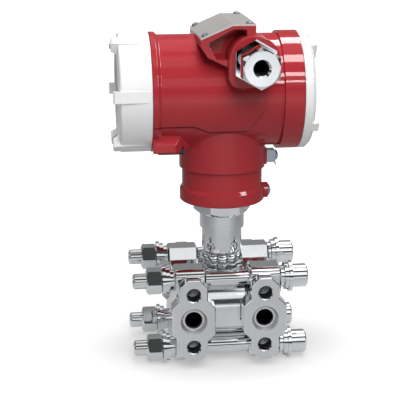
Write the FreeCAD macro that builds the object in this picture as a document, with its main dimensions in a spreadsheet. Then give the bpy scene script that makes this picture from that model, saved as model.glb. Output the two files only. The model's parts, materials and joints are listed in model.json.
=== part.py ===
import FreeCAD, Part
import Sketcher
import math
import os
import re
from FreeCAD import Placement, Rotation, Vector

# Differential pressure transmitter: two process flanges bolted to a sensor capsule, and a
# painted housing that swivels on the sensor's neck.
# Millimetres. +Z is up, +X runs along the housing and the flange bolts, and the ports face -Y.
# The origin lies on the floor, under the neck's axis.

doc = FreeCAD.newDocument("transmitter")

# Driving dimensions
DIMENSIONS = [
    ("port_pitch", 54.0, "between the two process ports"),
    ("tap_pitch", 41.3, "between the two tapped holes beside a port"),
    ("tap_radius", 5.0, "tapped hole beside a front port"),
    ("bracket_tap", 4.25, "radius of a tapped hole beside a rear port"),
    ("tap_depth", 12.0, "tapped holes of a flange face"),
    ("tap_edge", 0.8, "chamfer at the mouth of a tapped hole"),
    ("port_bore", 5.7, "radius of the port's threaded bore"),
    ("port_length", 14.0, "length of the port's threaded bore"),
    ("port_mouth", 6.7, "radius of the port's lead-in cone"),
    ("port_cone", 2.9, "depth of the port's lead-in cone"),
    ("port_recess", 10.1, "radius of a port's recess at the port face"),
    ("port_floor", 7.9, "radius of a port's recess at its floor"),
    ("port_recess_depth", 3.6, "depth of a port's recess"),
    ("chamber_way", 9.0, "from the flange's middle to the end of a port's passage"),
    ("passage_radius", 3.0, "drilled way through a flange"),
    ("bolt_room", 1.49, "between the capsule and the flange bolts"),
    ("bolt_angle", 42.466, "degrees from the horizontal to a flange bolt, round the capsule"),
    ("bolt_radius", 6.0, "flange bolt shank"),
    ("bolt_clearance", 0.6, "round a bolt in its flange hole"),
    ("washer_play", 0.4, "round a bolt in its washers"),
    ("bolt_tail", 10.2, "thread that stands past the nut"),
    ("bolt_point", 1.0, "chamfer at a bolt's ends"),
    ("head_radius", 9.0, "socket head of a flange bolt"),
    ("head_height", 12.0, "socket head of a flange bolt"),
    ("socket_across", 10.0, "hexagon socket of a flange bolt"),
    ("socket_depth", 6.0, "hexagon socket of a flange bolt"),
    ("nut_across", 18.0, "flange nut across its flats"),
    ("nut_height", 12.0, "flange nut"),
    ("nut_bevel", 1.4, "chamfer of a nut's corners"),
    ("washer_radius", 12.0, "flat washer"),
    ("washer_thick", 2.5, "flat washer"),
    ("spring_radius", 10.4, "spring washer"),
    ("spring_thick", 3.2, "spring washer"),
    ("spring_slit", 1.6, "gap of a spring washer"),
    ("spot_radius", 8.2, "raised seat under a washer"),
    ("spot_height", 3.0, "raised seat under a washer"),
    ("flange_width", 24.2, "process flange along the bolts"),
    ("flange_gap", 0.5, "between capsule and flange, held open by the gasket"),
    ("lobe_reach", 9.5, "from a bolt's axis to the flange's flat outside"),
    ("lobe_edge", 1.5, "chamfer of a flange's ends"),
    ("lobe_corner", 6.0, "rounding of a flange lobe"),
    ("valley_depth", 9.0, "dip between two lobes of a flange"),
    ("valley_width", 24.0, "width of the dip's floor"),
    ("waist_depth", 3.0, "hollow in the flange's front between its lobes"),
    ("boss_root", 4.0, "how far a port boss stands into its flange"),
    ("boss_reach", 10.0, "from the flange's lobes to the port face"),
    ("face_height", 65.0, "port face, top to bottom"),
    ("face_top", 8.6, "flat at the top of a port face"),
    ("face_neck", 21.0, "width of a port face at its tapped holes"),
    ("face_width", 32.6, "width of a port face at its port"),
    ("face_side", 20.6, "height of the wide sides of a port face"),
    ("face_edge", 0.8, "chamfer round a port face"),
    ("capsule_radius", 32.5, "sensor capsule"),
    ("capsule_edge", 1.5, "chamfer of the capsule's rims"),
    ("capsule_width", 32.0, "sensor capsule along the bolts"),
    ("diaphragm_radius", 21.0, "isolating diaphragm"),
    ("diaphragm_thick", 0.4, "isolating diaphragm"),
    ("chamber_depth", 1.6, "process chamber in a flange's inner side"),
    ("gasket_inner", 22.5, "inner radius of a flange gasket"),
    ("gasket_outer", 26.5, "outer radius of a flange gasket"),
    ("gasket_thick", 2.4, "flange gasket"),
    ("foot_radius", 17.0, "rounded foot of the neck"),
    ("foot_height", 9.0, "rounded foot of the neck"),
    ("foot_sink", 6.0, "how far the neck stands into the capsule"),
    ("waist_radius", 12.5, "neck between its foot and its flutes"),
    ("stem_radius", 15.5, "lower cylinder of the neck"),
    ("stem_height", 19.0, "lower cylinder of the neck"),
    ("sleeve_radius", 17.25, "upper cylinder of the neck"),
    ("sleeve_height", 11.5, "upper cylinder of the neck"),
    ("flute_height", 13.6, "pointed flutes at the bottom of the stem"),
    ("flute_level", 4.6, "from the stem's bottom to a flute's widest place"),
    ("flute_depth", 4.2, "radius of a flute where it is widest"),
    ("neck_edge", 0.8, "small chamfers of the neck and the housing"),
    ("hex_across", 38.1, "neck hexagon across its flats"),
    ("hex_height", 10.1, "neck hexagon"),
    ("swivel_radius", 19.0, "spigot that the housing turns on"),
    ("swivel_height", 18.0, "spigot that the housing turns on"),
    ("swivel_fit", 0.05, "radial clearance of the swivel"),
    ("swivel_gap", 0.3, "between the neck hexagon and the clamp ring"),
    ("neck_ring_width", 2.6, "section of the neck's seal ring"),
    ("neck_rise", 41.0, "from the clamp ring's bottom to the body's underside"),
    ("ring_radius", 32.4, "clamp ring"),
    ("ring_height", 9.0, "clamp ring up to its bevel"),
    ("bevel_height", 2.6, "bevel above the clamp ring"),
    ("throat_radius", 30.6, "housing neck above the clamp ring"),
    ("throat_height", 14.6, "housing neck above the clamp ring"),
    ("neck_radius", 32.7, "housing neck below the body"),
    ("wire_radius", 6.0, "wire way from the neck to the display chamber"),
    ("plug_across", 17.0, "vent plug across its flats"),
    ("plug_hex", 8.0, "vent plug's hexagon"),
    ("plug_reach", 12.0, "vent plug in its port"),
    ("vent_radius", 3.0, "vent screw"),
    ("vent_reach", 12.0, "vent screw in its plug"),
    ("vent_across", 8.0, "vent screw across its flats"),
    ("vent_hex", 6.0, "vent screw's hexagon"),
    ("housing_half", 54.9, "half the length of the housing"),
    ("body_radius", 42.4, "housing body"),
    ("body_wall", 3.9, "wall of the housing body"),
    ("collar_step", 1.9, "collar on the terminal side, beyond the body"),
    ("collar_length", 14.7, "collar on the terminal side"),
    ("rim_step", 2.1, "rim on the display side, beyond the body"),
    ("rim_length", 3.9, "rim on the display side"),
    ("rim_slope", 2.2, "slope from the rim down to the body"),
    ("wall_place", 4.9, "from the neck's axis to the inner wall's display side"),
    ("wall_thick", 11.3, "wall between the two chambers"),
    ("contour_step", 0.7, "hollow in the body under its contour line"),
    ("contour_high", 19.9, "contour line on the display side, under the housing's axis"),
    ("contour_low", 24.9, "contour line below the saddle, under the housing's axis"),
    ("contour_turn", 7.5, "where the contour line turns upwards, under the housing's axis"),
    ("contour_left", 25.4, "from the neck's axis to the contour line's first bend"),
    ("contour_bend", 13.8, "from the neck's axis to the bends of its low stretch"),
    ("contour_right", 26.2, "from the neck's axis to where the contour line turns upwards"),
    ("saddle_left", 21.1, "from the neck's axis to the saddle's low end"),
    ("saddle_fold", 1.8, "from the neck's axis to the saddle's fold"),
    ("saddle_right", 18.1, "from the neck's axis to the saddle's high end"),
    ("saddle_step", 1.2, "saddle's low edge above the body"),
    ("saddle_climb", 10.9, "saddle's high top above the body"),
    ("saddle_proud", 2.6, "saddle's front before the body"),
    ("saddle_back", 28.0, "saddle's back behind the housing's axis"),
    ("saddle_rim", 5.0, "wall at the low end of the saddle's pocket"),
    ("saddle_lid", 2.6, "wall over the saddle's pocket"),
    ("saddle_knee", 12.5, "from the saddle's low edge down to its knee"),
    ("saddle_drop", 19.5, "from the saddle's low edge down to its underside"),
    ("saddle_foot", 1.6, "from the neck's axis to the end of the saddle's underside"),
    ("pocket_depth", 17.0, "pocket in the saddle's front"),
    ("pocket_side", 6.5, "wall at the high end of the saddle's pocket"),
    ("pocket_floor", 14.4, "from the saddle's low edge down to the pocket's floor"),
    ("pocket_foot", 9.2, "from the neck's axis to the end of the pocket's floor"),
    ("pocket_corner", 1.8, "rounding of the pocket's corners"),
    ("plate_thick", 1.2, "nameplate"),
    ("plate_inset", 4.2, "nameplate screws from the plate's edges"),
    ("plate_screw", 1.5, "radius of a nameplate screw"),
    ("plate_head", 2.6, "head radius of a nameplate screw"),
    ("entry_x", 16.6, "conduit entries from the neck's axis"),
    ("entry_rise", 28.5, "front conduit entry above the housing's axis"),
    ("entry_boss", 18.4, "radius of the front conduit boss"),
    ("entry_proud", 7.6, "front of the conduit boss before the body"),
    ("entry_taper", 22.0, "full round part of the front conduit boss"),
    ("entry_corner", 7.7, "rounding of the conduit boss's lower corner"),
    ("entry_bore", 9.8, "radius of a conduit entry"),
    ("rear_rise", 8.0, "rear conduit entry above the housing's axis"),
    ("rear_boss", 15.5, "radius of the rear conduit boss"),
    ("lock_inset", 4.4, "from the body's front back to the lock boss's front"),
    ("lock_base", 3.4, "from the body's underside up to the lock boss's underside"),
    ("lock_face", 5.7, "upright front of the lock boss"),
    ("lock_depth", 18.0, "lock boss, front to back"),
    ("lock_reach", 16.0, "front edge of the lock boss along the housing"),
    ("lock_slant", 13.5, "slanted end of the lock boss along the housing"),
    ("lock_round", 1.2, "rounding of the lock boss's front edges"),
    ("lock_screw", 3.0, "radius of the cover lock screw"),
    ("lock_length", 19.0, "cover lock screw"),
    ("lock_wall", 3.9, "from the housing's end to the cover lock screw"),
    ("lock_sink", 0.3, "from the lock boss's underside up to the screw's axis"),
    ("swivel_pad", 6.0, "radius of the swivel screw's pad"),
    ("swivel_screw", 3.0, "radius of the swivel screw"),
    ("swivel_head", 4.6, "head radius of the swivel screw"),
    ("ground_pad", 1.4, "ground terminal's pad, beyond the housing neck"),
    ("ground_rise", 6.5, "ground terminal above the housing neck's shoulder"),
    ("pad_height", 12.1, "ground terminal's pad"),
    ("ground_size", 9.3, "ground terminal's clamp"),
    ("ground_depth", 6.2, "ground terminal's clamp"),
    ("ground_screw", 2.0, "radius of the ground screw"),
    ("ground_head", 3.9, "head radius of the ground screw"),
    ("ground_reach", 8.0, "ground screw in the housing"),
    ("washer_sheet", 0.8, "ground washer"),
    ("gland_across", 29.0, "gland body across its flats"),
    ("gland_hex", 7.0, "gland body's hexagon"),
    ("gland_thread", 10.6, "radius of the gland body's outer thread"),
    ("gland_reach", 20.0, "gland body's outer thread"),
    ("gland_root", 15.0, "gland body and blanking plug in the housing"),
    ("seal_radius", 7.8, "seal inside the gland"),
    ("seal_depth", 14.0, "seal inside the gland"),
    ("ring_thick", 1.6, "pressure ring between seal and gland nut"),
    ("cable_radius", 5.0, "cable hole of the gland"),
    ("cap_across", 25.8, "gland nut across its flats"),
    ("cap_length", 15.0, "gland nut"),
    ("cap_wall", 3.0, "front wall of the gland nut"),
    ("cap_face", 11.7, "radius of the gland nut's flat face"),
    ("cap_lip", 0.5, "raised edge of the gland nut's flat face"),
    ("cap_bevel", 1.8, "chamfer of the gland nut's corners"),
    ("cap_mouth", 1.4, "chamfer at the mouth of the cable hole"),
    ("cover_step", 1.8, "both covers, beyond the body"),
    ("cover_gap", 0.3, "between a cover and the housing"),
    ("cover_thread", 9.0, "threaded part of a cover"),
    ("cover_wall", 2.4, "wall of a cover's threaded part"),
    ("display_reach", 22.9, "display cover up to its end face"),
    ("display_bulge", 1.3, "slope of the display cover's end face"),
    ("window_ledge", 4.3, "ledge of the window opening before the glass"),
    ("terminal_reach", 8.2, "terminal cover up to its end face"),
    ("lug_height", 5.1, "end lugs of the display cover"),
    ("lug_ledge", 3.4, "from the window opening out to the display lugs"),
    ("lug_slant", 3.8, "slope of a display lug's inner side"),
    ("lug_proud", 1.2, "display lugs beyond the cover's outside"),
    ("lug_width", 8.4, "display cover's lugs"),
    ("rib_start", 2.6, "where a display lug's rib fades out"),
    ("tab_length", 13.4, "terminal cover's lugs, from the cover's outside inwards"),
    ("tab_width", 7.6, "terminal cover's lugs"),
    ("tab_height", 3.2, "terminal cover's lugs"),
    ("end_wall", 4.0, "end wall of a cover"),
    ("cover_edge", 1.0, "small chamfers of the covers"),
    ("cover_round", 2.6, "bevel of the terminal cover"),
    ("glass_thick", 6.0, "window glass"),
    ("glass_gasket", 0.8, "gasket in front of the glass"),
    ("retainer_thick", 3.0, "ring behind the glass"),
    ("oring_width", 1.8, "section of a cover's seal ring"),
    ("module_play", 1.8, "round the inserts of the display chamber"),
    ("block_radius", 26.0, "terminal block"),
    ("electronics_depth", 27.0, "electronics module"),
    ("display_thick", 24.0, "display module"),
    ("screen_width", 44.0, "display screen"),
    ("screen_height", 24.0, "display screen"),
    ("screen_thick", 1.0, "display screen"),
    ("terminal_thick", 12.0, "terminal block"),
    ("terminal_head", 3.6, "radius of a terminal's pocket"),
    ("terminal_slot", 1.0, "slot of a terminal screw"),
]

# Counts, and angles in degrees
FLUTES = 5
FLUTE_START = -41.0
DISPLAY_LUGS = 6
DISPLAY_LUG_START = 85.0
TERMINAL_LUGS = 4
TERMINAL_LUG_START = 120.0
TERMINALS = 3
FLATS_LEVEL = 30.0
SLIT_TURN = -40.0

sheet = doc.addObject("Spreadsheet::Sheet", "Sizes")
for row, (alias, value, note) in enumerate(DIMENSIONS, start=1):
    sheet.set("A%d" % row, note)
    sheet.set("B%d" % row, str(value))
    sheet.setAlias("B%d" % row, alias)
doc.recompute()
ALIASES = {alias for alias, value, note in DIMENSIONS}


def formula(text):
    """Write each dimension's name in an expression as a reference to its cell."""
    return re.sub(r"[a-z_]+", lambda m: "Sizes." + m[0] if m[0] in ALIASES else m[0], str(text))


def number(text):
    """The value of an expression at the present sizes."""
    return float(sheet.evalExpression(formula(text)))


def bind(thing, **expressions):
    for name, text in expressions.items():
        thing.setExpression(name.replace("__", "."), formula(text))
    return thing


def place(thing, x=0, y=0, z=0, turn=None):
    """Bind a placement's base, with an optional fixed rotation."""
    if turn:
        thing.Placement = Placement(Vector(), turn)
    return bind(thing, Placement__Base__x=x, Placement__Base__y=y, Placement__Base__z=z)


# Rotations that lay a primitive's own Z axis along another axis
ALONG = {
    "X": Rotation(Vector(0, 1, 0), 90),
    "Y": Rotation(Vector(1, 0, 0), -90),
    "Z": Rotation(),
}
# Sketch plane and revolution axis for turned pieces
TURNING = {"X": ("XZ_Plane", "H_Axis"), "Y": ("XY_Plane", "V_Axis"), "Z": ("XZ_Plane", "V_Axis")}


def outline(body, plane, corners, offset=None):
    """A closed polygon in a sketch, each corner held by two named distances."""
    sketch = body.newObject("Sketcher::SketchObject", body.Name + "_sketch")
    origin = [f for f in body.Origin.OriginFeatures if f.Role == plane][0]
    sketch.AttachmentSupport = [(origin, "")]
    sketch.MapMode = "FlatFace"
    if offset is not None:
        sketch.setExpression("AttachmentOffset.Base.z", formula(offset))
    points = [Vector(number(a), number(b), 0) for a, b in corners]
    count = len(points)
    for i in range(count):
        sketch.addGeometry(Part.LineSegment(points[i], points[(i + 1) % count]), False)
    for i in range(count):
        sketch.addConstraint(Sketcher.Constraint("Coincident", i, 2, (i + 1) % count, 1))
    for i, corner in enumerate(corners):
        for kind, text, value in zip(("DistanceX", "DistanceY"), corner, points[i]):
            if text == 0:
                axis = -2 if kind == "DistanceX" else -1
                sketch.addConstraint(Sketcher.Constraint("PointOnObject", i, 1, axis))
                continue
            rule = Sketcher.Constraint(kind, -1, 1, i, 1, value)
            index = sketch.addConstraint(rule)
            sketch.setExpression("Constraints[%d]" % index, formula(text))
    return sketch


def turned(name, axis, profile, angle=None):
    """A body of revolution; the profile gives (distance along the axis, radius)."""
    body = doc.addObject("PartDesign::Body", name)
    plane, line = TURNING[axis]
    corners = profile if axis == "X" else [(radius, along) for along, radius in profile]
    sketch = outline(body, plane, corners)
    spin = body.newObject("PartDesign::Revolution", name + "_turn")
    spin.Profile = sketch
    spin.ReferenceAxis = (sketch, [line])
    spin.Angle = 360.0
    if angle is not None:
        bind(spin, Angle=angle)
        spin.Midplane = True
    body.Tip = spin
    return body


def slab(name, plane, corners, length, start=None):
    """A padded outline; without a start it lies evenly on both sides of its plane."""
    body = doc.addObject("PartDesign::Body", name)
    sketch = outline(body, plane, corners, start)
    pad = body.newObject("PartDesign::Pad", name + "_pad")
    pad.Profile = sketch
    bind(pad, Length=length)
    pad.Midplane = start is None
    body.Tip = pad
    return body


def rod(name, axis, radius, length, x=0, y=0, z=0):
    """A cylinder that starts at a point and runs along an axis."""
    thing = bind(doc.addObject("Part::Cylinder", name), Radius=radius, Height=length)
    return place(thing, x, y, z, ALONG[axis])


def hexagon(name, axis, across, length, x=0, y=0, z=0, spin=0):
    """A hexagonal bar, given across its flats."""
    thing = doc.addObject("Part::Prism", name)
    thing.Polygon = 6
    bind(thing, Circumradius="(%s) / sqrt(3)" % across, Height=length)
    return place(thing, x, y, z, ALONG[axis].multiply(Rotation(Vector(0, 0, 1), spin)))


def block(name, width, depth, height, x=0, y=0, z=0):
    """A box from its lowest corner."""
    thing = bind(doc.addObject("Part::Box", name), Length=width, Width=depth, Height=height)
    return place(thing, x, y, z)


def fuse(name, parts):
    thing = doc.addObject("Part::MultiFuse", name)
    thing.Shapes = parts
    thing.Refine = True
    return thing


def common(name, parts):
    thing = doc.addObject("Part::MultiCommon", name)
    thing.Shapes = parts
    return thing


def cut(name, base, tools):
    thing = doc.addObject("Part::Cut", name)
    thing.Base = base
    thing.Tool = tools[0] if len(tools) == 1 else fuse(name + "_tools", tools)
    return thing


def group(name, parts):
    thing = doc.addObject("Part::Compound", name)
    thing.Links = parts
    return thing


def edge_names(feature, test):
    doc.recompute()
    edges = enumerate(feature.Shape.Edges, start=1)
    return ["Edge%d" % n for n, edge in edges if test(edge)]


def dressed(body, kind, size, test):
    """Fillet or chamfer the edges of a body that pass a test."""
    base = body.Tip
    names = edge_names(base, test)
    step = body.newObject("PartDesign::" + kind, "%s_%s" % (body.Name, kind.lower()))
    step.Base = (base, names)
    bind(step, **{"Radius" if kind == "Fillet" else "Size": size})
    body.Tip = step
    return body


def spans(edge, axis):
    """How far an edge reaches along an axis."""
    return getattr(edge.BoundBox, axis.upper() + "Length")


def ring(name, axis, inner, outer, start, end):
    return turned(name, axis, [(start, inner), (start, outer), (end, outer), (end, inner)])


def seal_ring(name, axis, inner, width, start):
    """An eight-sided seal ring, which starts at a place on its axis."""
    corner = "0.3 * %s" % width
    ends = ["%s + %s" % (start, step) for step in (0, corner, "%s - %s" % (width, corner), width)]
    radii = ["%s + %s" % (inner, step) for step in (0, corner, "%s - %s" % (width, corner), width)]
    places = [(0, 1), (0, 2), (1, 3), (2, 3), (3, 2), (3, 1), (2, 0), (1, 0)]
    return turned(name, axis, [("(%s)" % ends[a], "(%s)" % radii[r]) for a, r in places])


# Heights and faces that several pieces share
bolt_circle = "(capsule_radius + bolt_room + bolt_radius)"
half_y = "(%s * cos(bolt_angle))" % bolt_circle
half_z = "(%s * sin(bolt_angle))" % bolt_circle
port_height = "(%s + washer_radius)" % half_z
port_x = "port_pitch / 2"
inner_face = "(capsule_width / 2 + flange_gap)"
outer_face = "(%s + flange_width)" % inner_face
flange_side = "(%s + lobe_reach)" % half_y
flange_top = "(%s + lobe_reach)" % half_z
port_face = "(%s + boss_reach)" % flange_side
seat = "(%s + spot_height)" % outer_face
flat_seat = "(%s + spring_thick)" % seat
nut_seat = "(%s + washer_thick)" % flat_seat
capsule_top = "(%s + capsule_radius)" % port_height
stem_foot = "(%s + foot_height)" % capsule_top
sleeve_foot = "(%s + stem_height)" % stem_foot
hex_foot = "(%s + sleeve_height)" % sleeve_foot
hex_top = "(%s + hex_height)" % hex_foot
ring_foot = "(%s + swivel_gap)" % hex_top
ring_bevel = "(%s + ring_height)" % ring_foot
throat_foot = "(%s + bevel_height)" % ring_bevel
shoulder = "(%s + throat_height)" % throat_foot
head_axis = "(%s + neck_rise + body_radius)" % ring_foot
chamber_radius = "(body_radius - body_wall)"
terminal_floor = "(wall_thick - wall_place)"
saddle_low = "(body_radius + saddle_step)"
saddle_high = "(body_radius + saddle_climb)"
saddle_front = "(body_radius + saddle_proud)"
entry_front = "(body_radius + entry_proud)"
swivel_level = "(%s + ring_height / 2 + neck_edge)" % ring_foot
ground_face = "(neck_radius + ground_pad)"
ground_level = "(%s + ground_rise)" % shoulder
lock_end = "-(housing_half - lock_wall)"
lock_middle = "-(body_radius - lock_inset - lock_depth / 2)"
lock_level = "(%s - body_radius + lock_base + lock_sink)" % head_axis
cover_face = "(housing_half + cover_gap)"
cover_radius = "(body_radius + cover_step)"
spigot_radius = "(%s - cover_gap)" % chamber_radius
bowl_radius = "(%s - cover_wall)" % spigot_radius
display_opening = "(%s - window_ledge)" % bowl_radius
BOLTS = [(y, z) for y in (-1, 1) for z in (-1, 1)]


def at_bolt(y, z):
    return "%d * %s" % (y, half_y), "%s + %d * %s" % (port_height, z, half_z)


# Process flanges: a plate with four lobes, a stepped boss at the front and the back with the
# port between two tapped holes, and a shallow chamber that faces the diaphragm.
def lobed_plate():
    lobe = "(%s - 2 * lobe_reach - washer_play)" % flange_side
    floor = "(%s - valley_depth)" % flange_top
    waist = "(%s - waist_depth)" % flange_side
    low = "(%s - 2 * lobe_reach - waist_depth)" % flange_top
    step = "(%s - 2 * lobe_reach)" % flange_top
    quarter = [
        (waist, low), (flange_side, step), (flange_side, flange_top), (lobe, flange_top),
        ("valley_width / 2", floor),
    ]
    upper = quarter + [("-" + y, z) for y, z in reversed(quarter)]
    corners = upper + [("-%s" % y if y[0] != "-" else y[1:], "-" + z) for y, z in upper]
    body = slab("flange_plate", "YZ_Plane", corners, "flange_width", inner_face)
    place(body, 0, 0, port_height)
    side, top = number(flange_side), number(flange_top)

    def lobe_corner(edge):
        box = edge.BoundBox
        outside = abs(abs(box.YMin) - side) < 0.01 and abs(abs(box.ZMin) - top) < 0.01
        return spans(edge, "x") > 1 and outside

    dressed(body, "Fillet", "lobe_corner", lobe_corner)
    return dressed(body, "Chamfer", "lobe_edge", lambda edge: spans(edge, "x") < 0.01)


def port_boss(name, facing):
    """One stepped boss; facing is -1 for the front and 1 for the back."""
    step = "(face_neck - face_top) / 2"
    shoulder = "(face_width - face_neck) / 2"
    half = [
        ("face_top / 2", "face_height / 2"),
        ("face_neck / 2", "(face_height / 2 - %s)" % step),
        ("face_neck / 2", "(face_side / 2 + %s)" % shoulder),
        ("face_width / 2", "face_side / 2"),
    ]
    right = half + [(x, "-" + z) for x, z in reversed(half)]
    corners = right + [("-" + x, z) for x, z in reversed(right)]
    root = "%s - boss_root" % flange_side
    start = root if facing < 0 else "-" + port_face
    body = slab(name, "XZ_Plane", corners, "boss_reach + boss_root", start)
    place(body, port_x, 0, port_height)
    face = facing * number(port_face)
    rim = lambda edge: spans(edge, "y") < 0.01 and abs(edge.BoundBox.YMin - face) < 0.01
    return dressed(body, "Chamfer", "face_edge", rim)


def port_tool(name, facing):
    """The recess, the lead-in cone, the threaded bore and the passage of one port."""
    bore_start = "(port_recess_depth + port_cone)"
    depth = "(%s - chamber_way)" % port_face
    profile = [
        (0, 0), (0, "port_recess"), ("port_recess_depth", "port_floor"),
        ("port_recess_depth", "port_mouth"), (bore_start, "port_bore"),
        ("(%s + port_length)" % bore_start, "port_bore"),
        ("(%s + port_length + port_bore / 2)" % bore_start, "passage_radius"),
        (depth, "passage_radius"), (depth, 0),
    ]
    if facing > 0:
        profile = [("-" + str(along) if along else 0, radius) for along, radius in profile]
    body = turned(name, "Y", profile)
    return place(body, port_x, "%d * %s" % (facing, port_face), port_height)


def tap_tool(name, facing, side):
    """A tapped hole above or below a port; those at the back take a bracket's bolts."""
    radius = "tap_radius" if facing < 0 else "bracket_tap"
    profile = [
        (0, 0), (0, "(%s + tap_edge)" % radius), ("tap_edge", radius),
        ("tap_depth", radius), ("(tap_depth + %s / 2)" % radius, 0),
    ]
    if facing > 0:
        profile = [("-" + str(along) if along else 0, radius) for along, radius in profile]
    body = turned(name, "Y", profile)
    height = "%s + %d * tap_pitch / 2" % (port_height, side)
    return place(body, port_x, "%d * %s" % (facing, port_face), height)


def process_flanges():
    solid = [lobed_plate(), port_boss("boss_front", -1), port_boss("boss_back", 1)]
    holes = []
    for n, (y, z) in enumerate(BOLTS):
        spot_y, spot_z = at_bolt(y, z)
        height = "spot_height + flange_width / 2"
        middle = "%s + flange_width / 2" % inner_face
        solid.append(rod("spot_%d" % n, "X", "spot_radius", height, middle, spot_y, spot_z))
        clear = "bolt_radius + bolt_clearance"
        length = "flange_width + spot_height"
        holes.append(rod("bolt_hole_%d" % n, "X", clear, length, inner_face, spot_y, spot_z))
    for facing, word in ((-1, "front"), (1, "back")):
        holes.append(port_tool("port_" + word, facing))
        holes.append(tap_tool("tap_upper_" + word, facing, 1))
        holes.append(tap_tool("tap_lower_" + word, facing, -1))
    chamber = "diaphragm_radius + flange_gap"
    holes.append(rod("chamber", "X", chamber, "chamber_depth", inner_face, 0, port_height))
    reach = "%s - %s" % (port_x, inner_face)
    for side in (-1, 1):
        way = "%d * (chamber_way + passage_radius)" % side
        name = "chamber_way_front" if side < 0 else "chamber_way_back"
        holes.append(rod(name, "X", "passage_radius", reach, inner_face, way, port_height))
    right = cut("process_flange_right", fuse("flange_solid", solid), holes)
    left = doc.addObject("Part::Mirroring", "process_flange_left")
    left.Source = right
    left.Base = Vector()
    left.Normal = Vector(1, 0, 0)
    return [right, left]


# Sensor capsule with its two diaphragms and gaskets
def sensor_capsule():
    half = "(capsule_width / 2)"
    groove = "(capsule_width / 2 + flange_gap - gasket_thick)"
    pit = "(capsule_width / 2 - diaphragm_thick)"
    side = [
        (pit, 0), (pit, "diaphragm_radius"), (half, "diaphragm_radius"), (half, "gasket_inner"),
        (groove, "gasket_inner"), (groove, "gasket_outer"), (half, "gasket_outer"),
        (half, "(capsule_radius - capsule_edge)"), ("(%s - capsule_edge)" % half, "capsule_radius"),
    ]
    profile = side + [("-" + along, radius) for along, radius in reversed(side)]
    capsule = turned("sensor_capsule", "X", profile)
    place(capsule, 0, 0, port_height)
    discs, seals = [], []
    for side_sign, word in ((-1, "left"), (1, "right")):
        low = pit if side_sign > 0 else "-" + half
        discs.append(rod("diaphragm_" + word, "X", "diaphragm_radius", "diaphragm_thick",
                         low, 0, port_height))
        ends = (groove, inner_face) if side_sign > 0 else ("-" + inner_face, "-" + groove)
        seal = ring("gasket_" + word, "X", "gasket_inner", "gasket_outer", *ends)
        seals.append(place(seal, 0, 0, port_height))
    return [capsule, group("isolating_diaphragms", discs), group("flange_gaskets", seals)]


# Flange bolts: socket heads on the right, nuts on the left, and under both a flat washer on a
# split spring washer
def flange_bolt(n, by, bz):
    shank_end = "-(%s + nut_height + bolt_tail)" % nut_seat
    head_end = "(%s + head_height)" % nut_seat
    shape = turned("bolt_turned_%d" % n, "X", [
        (shank_end, 0), (shank_end, "(bolt_radius - 1.6 * bolt_point)"),
        ("(%s + 0.5 * bolt_point)" % shank_end, "(bolt_radius - 0.7 * bolt_point)"),
        ("(%s + 1.6 * bolt_point)" % shank_end, "bolt_radius"), (nut_seat, "bolt_radius"),
        (nut_seat, "head_radius"), ("(%s - bolt_point)" % head_end, "head_radius"),
        (head_end, "(head_radius - bolt_point)"), (head_end, 0),
    ])
    place(shape, 0, by, bz)
    socket_floor = "%s - socket_depth" % head_end
    socket = hexagon("bolt_socket_%d" % n, "X", "socket_across", "socket_depth", socket_floor, by, bz)
    return cut("bolt_%d" % n, shape, [socket])


def flange_nut(n, by, bz):
    start = "-(%s + nut_height)" % nut_seat
    bar = hexagon("nut_bar_%d" % n, "X", "nut_across", "nut_height", start, by, bz, FLATS_LEVEL)
    corner = "(nut_across / sqrt(3))"
    flat = "(nut_across / 2 - bolt_clearance)"
    lens = turned("nut_lens_%d" % n, "X", [
        (0, 0), (0, flat), ("nut_bevel", corner), ("(nut_height - nut_bevel)", corner),
        ("nut_height", flat), ("nut_height", 0),
    ])
    place(lens, start, by, bz)
    bore = rod("nut_bore_%d" % n, "X", "bolt_radius", "nut_height", start, by, bz)
    return cut("nut_%d" % n, common("nut_solid_%d" % n, [bar, lens]), [bore])


def spring_washer(name, start, by, bz):
    """A ring with one slanted slit, low on its front."""
    coil = ring(name + "_coil", "X", "(bolt_radius + washer_play)", "spring_radius", 0, "spring_thick")
    place(coil, start, by, bz)
    lean = "spring_thick / 2"
    slit = slab(name + "_slit", "XY_Plane", [
        (0, "-(spring_slit / 2 + %s)" % lean), ("spring_thick", "-(spring_slit / 2 - %s)" % lean),
        ("spring_thick", "(spring_slit / 2 + %s)" % lean), (0, "(spring_slit / 2 - %s)" % lean),
    ], "spring_radius + spring_slit", "-(spring_radius + spring_slit)")
    place(slit, start, by, bz, Rotation(Vector(1, 0, 0), SLIT_TURN))
    return cut(name, coil, [slit])


def flange_fasteners():
    bolts, nuts, washers, springs = [], [], [], []
    for n, (y, z) in enumerate(BOLTS):
        by, bz = at_bolt(y, z)
        bolts.append(flange_bolt(n, by, bz))
        nuts.append(flange_nut(n, by, bz))
        for sign, word in ((-1, "left"), (1, "right")):
            spring_start = seat if sign > 0 else "-" + flat_seat
            flat_start = flat_seat if sign > 0 else "-" + nut_seat
            springs.append(spring_washer("spring_%s_%d" % (word, n), spring_start, by, bz))
            flat = ring("washer_%s_%d" % (word, n), "X", "(bolt_radius + washer_play)",
                        "washer_radius", 0, "washer_thick")
            washers.append(place(flat, flat_start, by, bz))
    return [
        group("flange_bolts", bolts), group("flange_nuts", nuts),
        group("flat_washers", washers), group("spring_washers", springs),
    ]


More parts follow.
